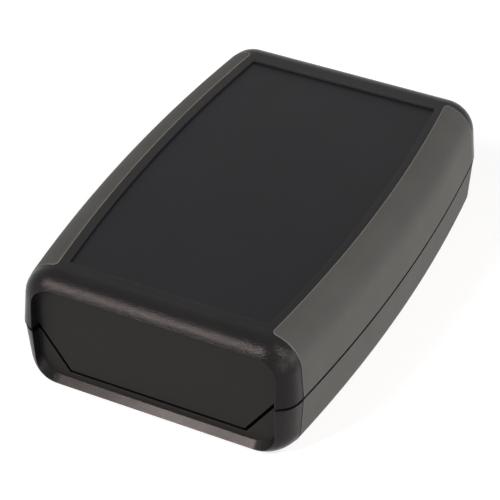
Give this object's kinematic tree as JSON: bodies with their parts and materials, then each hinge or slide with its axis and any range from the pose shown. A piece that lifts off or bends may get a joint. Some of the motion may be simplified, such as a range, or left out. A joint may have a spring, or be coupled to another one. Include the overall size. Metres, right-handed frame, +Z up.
{
  "type": "injection moulded plastic housing",
  "caption": "Hand-held electronics housing: two black moulded shells with bowed sides, soft grey side grips, a label recess on top and recessed end faces.",
  "frame": {"origin": "centre of the base face, at the middle of the overall length and width", "axes": "+Z up, out of the label recess; +Y along the case towards the rear end; +X to the right-hand grips"},
  "size_m": [0.079, 0.1168, 0.033],
  "materials": {
    "shell_top": "black ABS with a fine spark texture",
    "shell_bottom": "black ABS with a fine spark texture",
    "grip_upper": "matt grey soft-touch elastomer",
    "grip_lower": "matt grey soft-touch elastomer",
    "screw": "dark zinc-plated steel"
  },
  "bodies": {
    "root": {"top_shell": "shell_top", "bottom_shell": "shell_bottom", "upper_grip_right": "grip_upper", "upper_grip_left": "grip_upper", "lower_grip_right": "grip_lower", "lower_grip_left": "grip_lower", "screw_front_right": "screw", "screw_front_left": "screw", "screw_rear_right": "screw", "screw_rear_left": "screw"}
  },
  "joints": []
}
